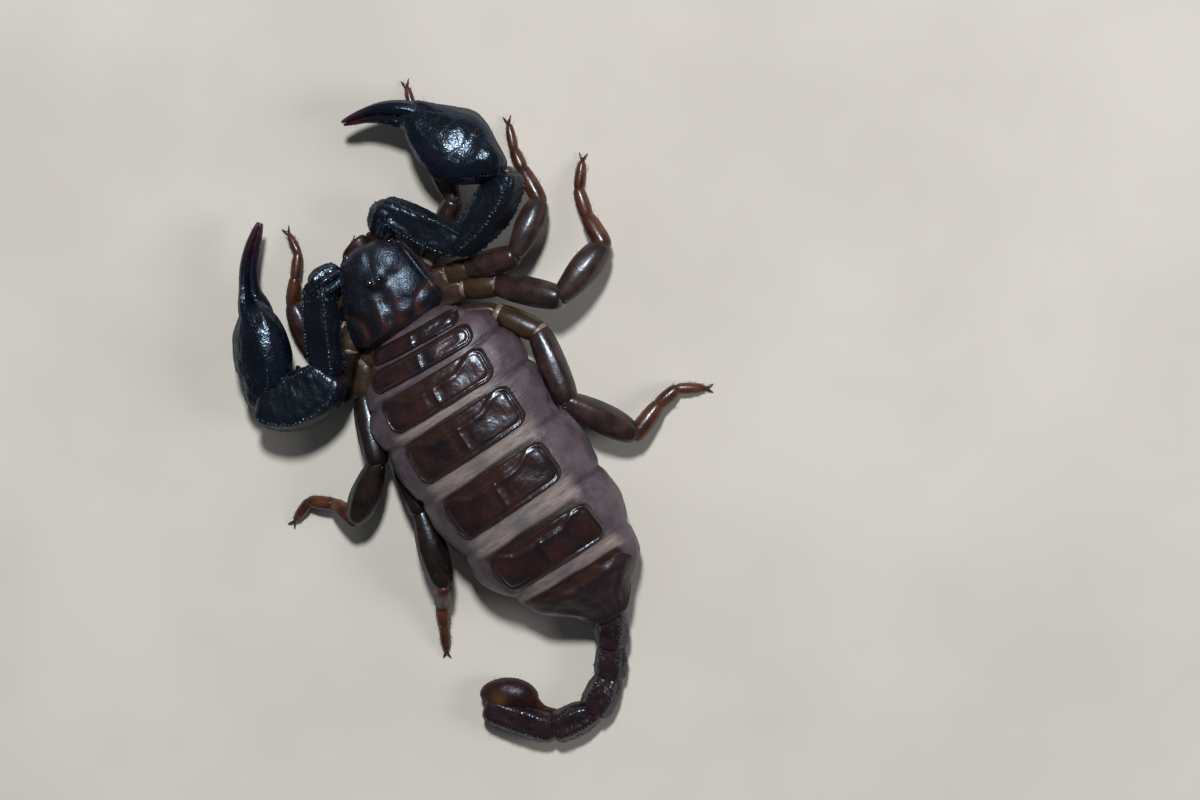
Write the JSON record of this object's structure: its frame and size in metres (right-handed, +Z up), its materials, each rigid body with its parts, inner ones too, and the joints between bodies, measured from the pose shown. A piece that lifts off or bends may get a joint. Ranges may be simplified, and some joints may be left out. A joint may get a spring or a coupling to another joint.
{
  "type": "wood scorpion model",
  "caption": "Life-size still model of a dark wood scorpion with a swollen belly, lying flat with claws bent in and the tail curled on its side.",
  "frame": {"origin": "on the floor under the middle of the belly, on the flat face of the fourth belly plate", "axes": "+Z up from the floor, -Y towards the head, -X to the animal's right"},
  "size_m": [0.0302, 0.0408, 0.0065],
  "materials": {
    "membrane": "satin wrinkled soft skin, purple grey",
    "plate": "glossy dark red-brown shell",
    "shield": "glossy near-black shell",
    "palp": "glossy blue-black grained shell",
    "leg": "glossy brown shell",
    "foot": "satin orange-brown shell",
    "tail": "glossy brown-black shell",
    "sting": "glossy red-brown shell",
    "eye": "polished black"
  },
  "bodies": {
    "root": {"carapace": "shield", "chelicera_left": "shield", "chelicera_right": "shield", "eye_median_left": "eye", "eye_median_right": "eye", "coxosternum": "leg", "mesosoma": "membrane", "tergite_1": "plate", "tergite_2": "plate", "tergite_3": "plate", "tergite_4": "plate", "tergite_5": "plate", "tergite_6": "plate", "tergite_7": "plate", "sternite_3": "plate", "sternite_4": "plate", "sternite_5": "plate", "sternite_6": "plate", "sternite_7": "plate", "pectines": "foot", "metasoma_1": "tail", "metasoma_2": "tail", "metasoma_3": "tail", "metasoma_4": "tail", "metasoma_5": "tail", "telson": "sting", "pedipalp_right_trochanter": "palp", "pedipalp_right_femur": "palp", "pedipalp_right_patella": "palp", "pedipalp_right_manus": "palp", "pedipalp_right_finger": "palp", "leg_right_1_femur": "leg", "leg_right_1_patella": "leg", "leg_right_1_foot": "foot", "leg_right_2_femur": "leg", "leg_right_2_patella": "leg", "leg_right_2_foot": "foot", "leg_right_3_femur": "leg", "leg_right_3_patella": "leg", "leg_right_3_foot": "foot", "leg_right_4_femur": "leg", "leg_right_4_patella": "leg", "leg_right_4_foot": "foot", "pedipalp_left_trochanter": "palp", "pedipalp_left_femur": "palp", "pedipalp_left_patella": "palp", "pedipalp_left_manus": "palp", "pedipalp_left_finger": "palp", "leg_left_1_femur": "leg", "leg_left_1_patella": "leg", "leg_left_1_foot": "foot", "leg_left_2_femur": "leg", "leg_left_2_patella": "leg", "leg_left_2_foot": "foot", "leg_left_3_femur": "leg", "leg_left_3_patella": "leg", "leg_left_3_foot": "foot", "leg_left_4_femur": "leg", "leg_left_4_patella": "leg", "leg_left_4_foot": "foot"}
  },
  "joints": []
}
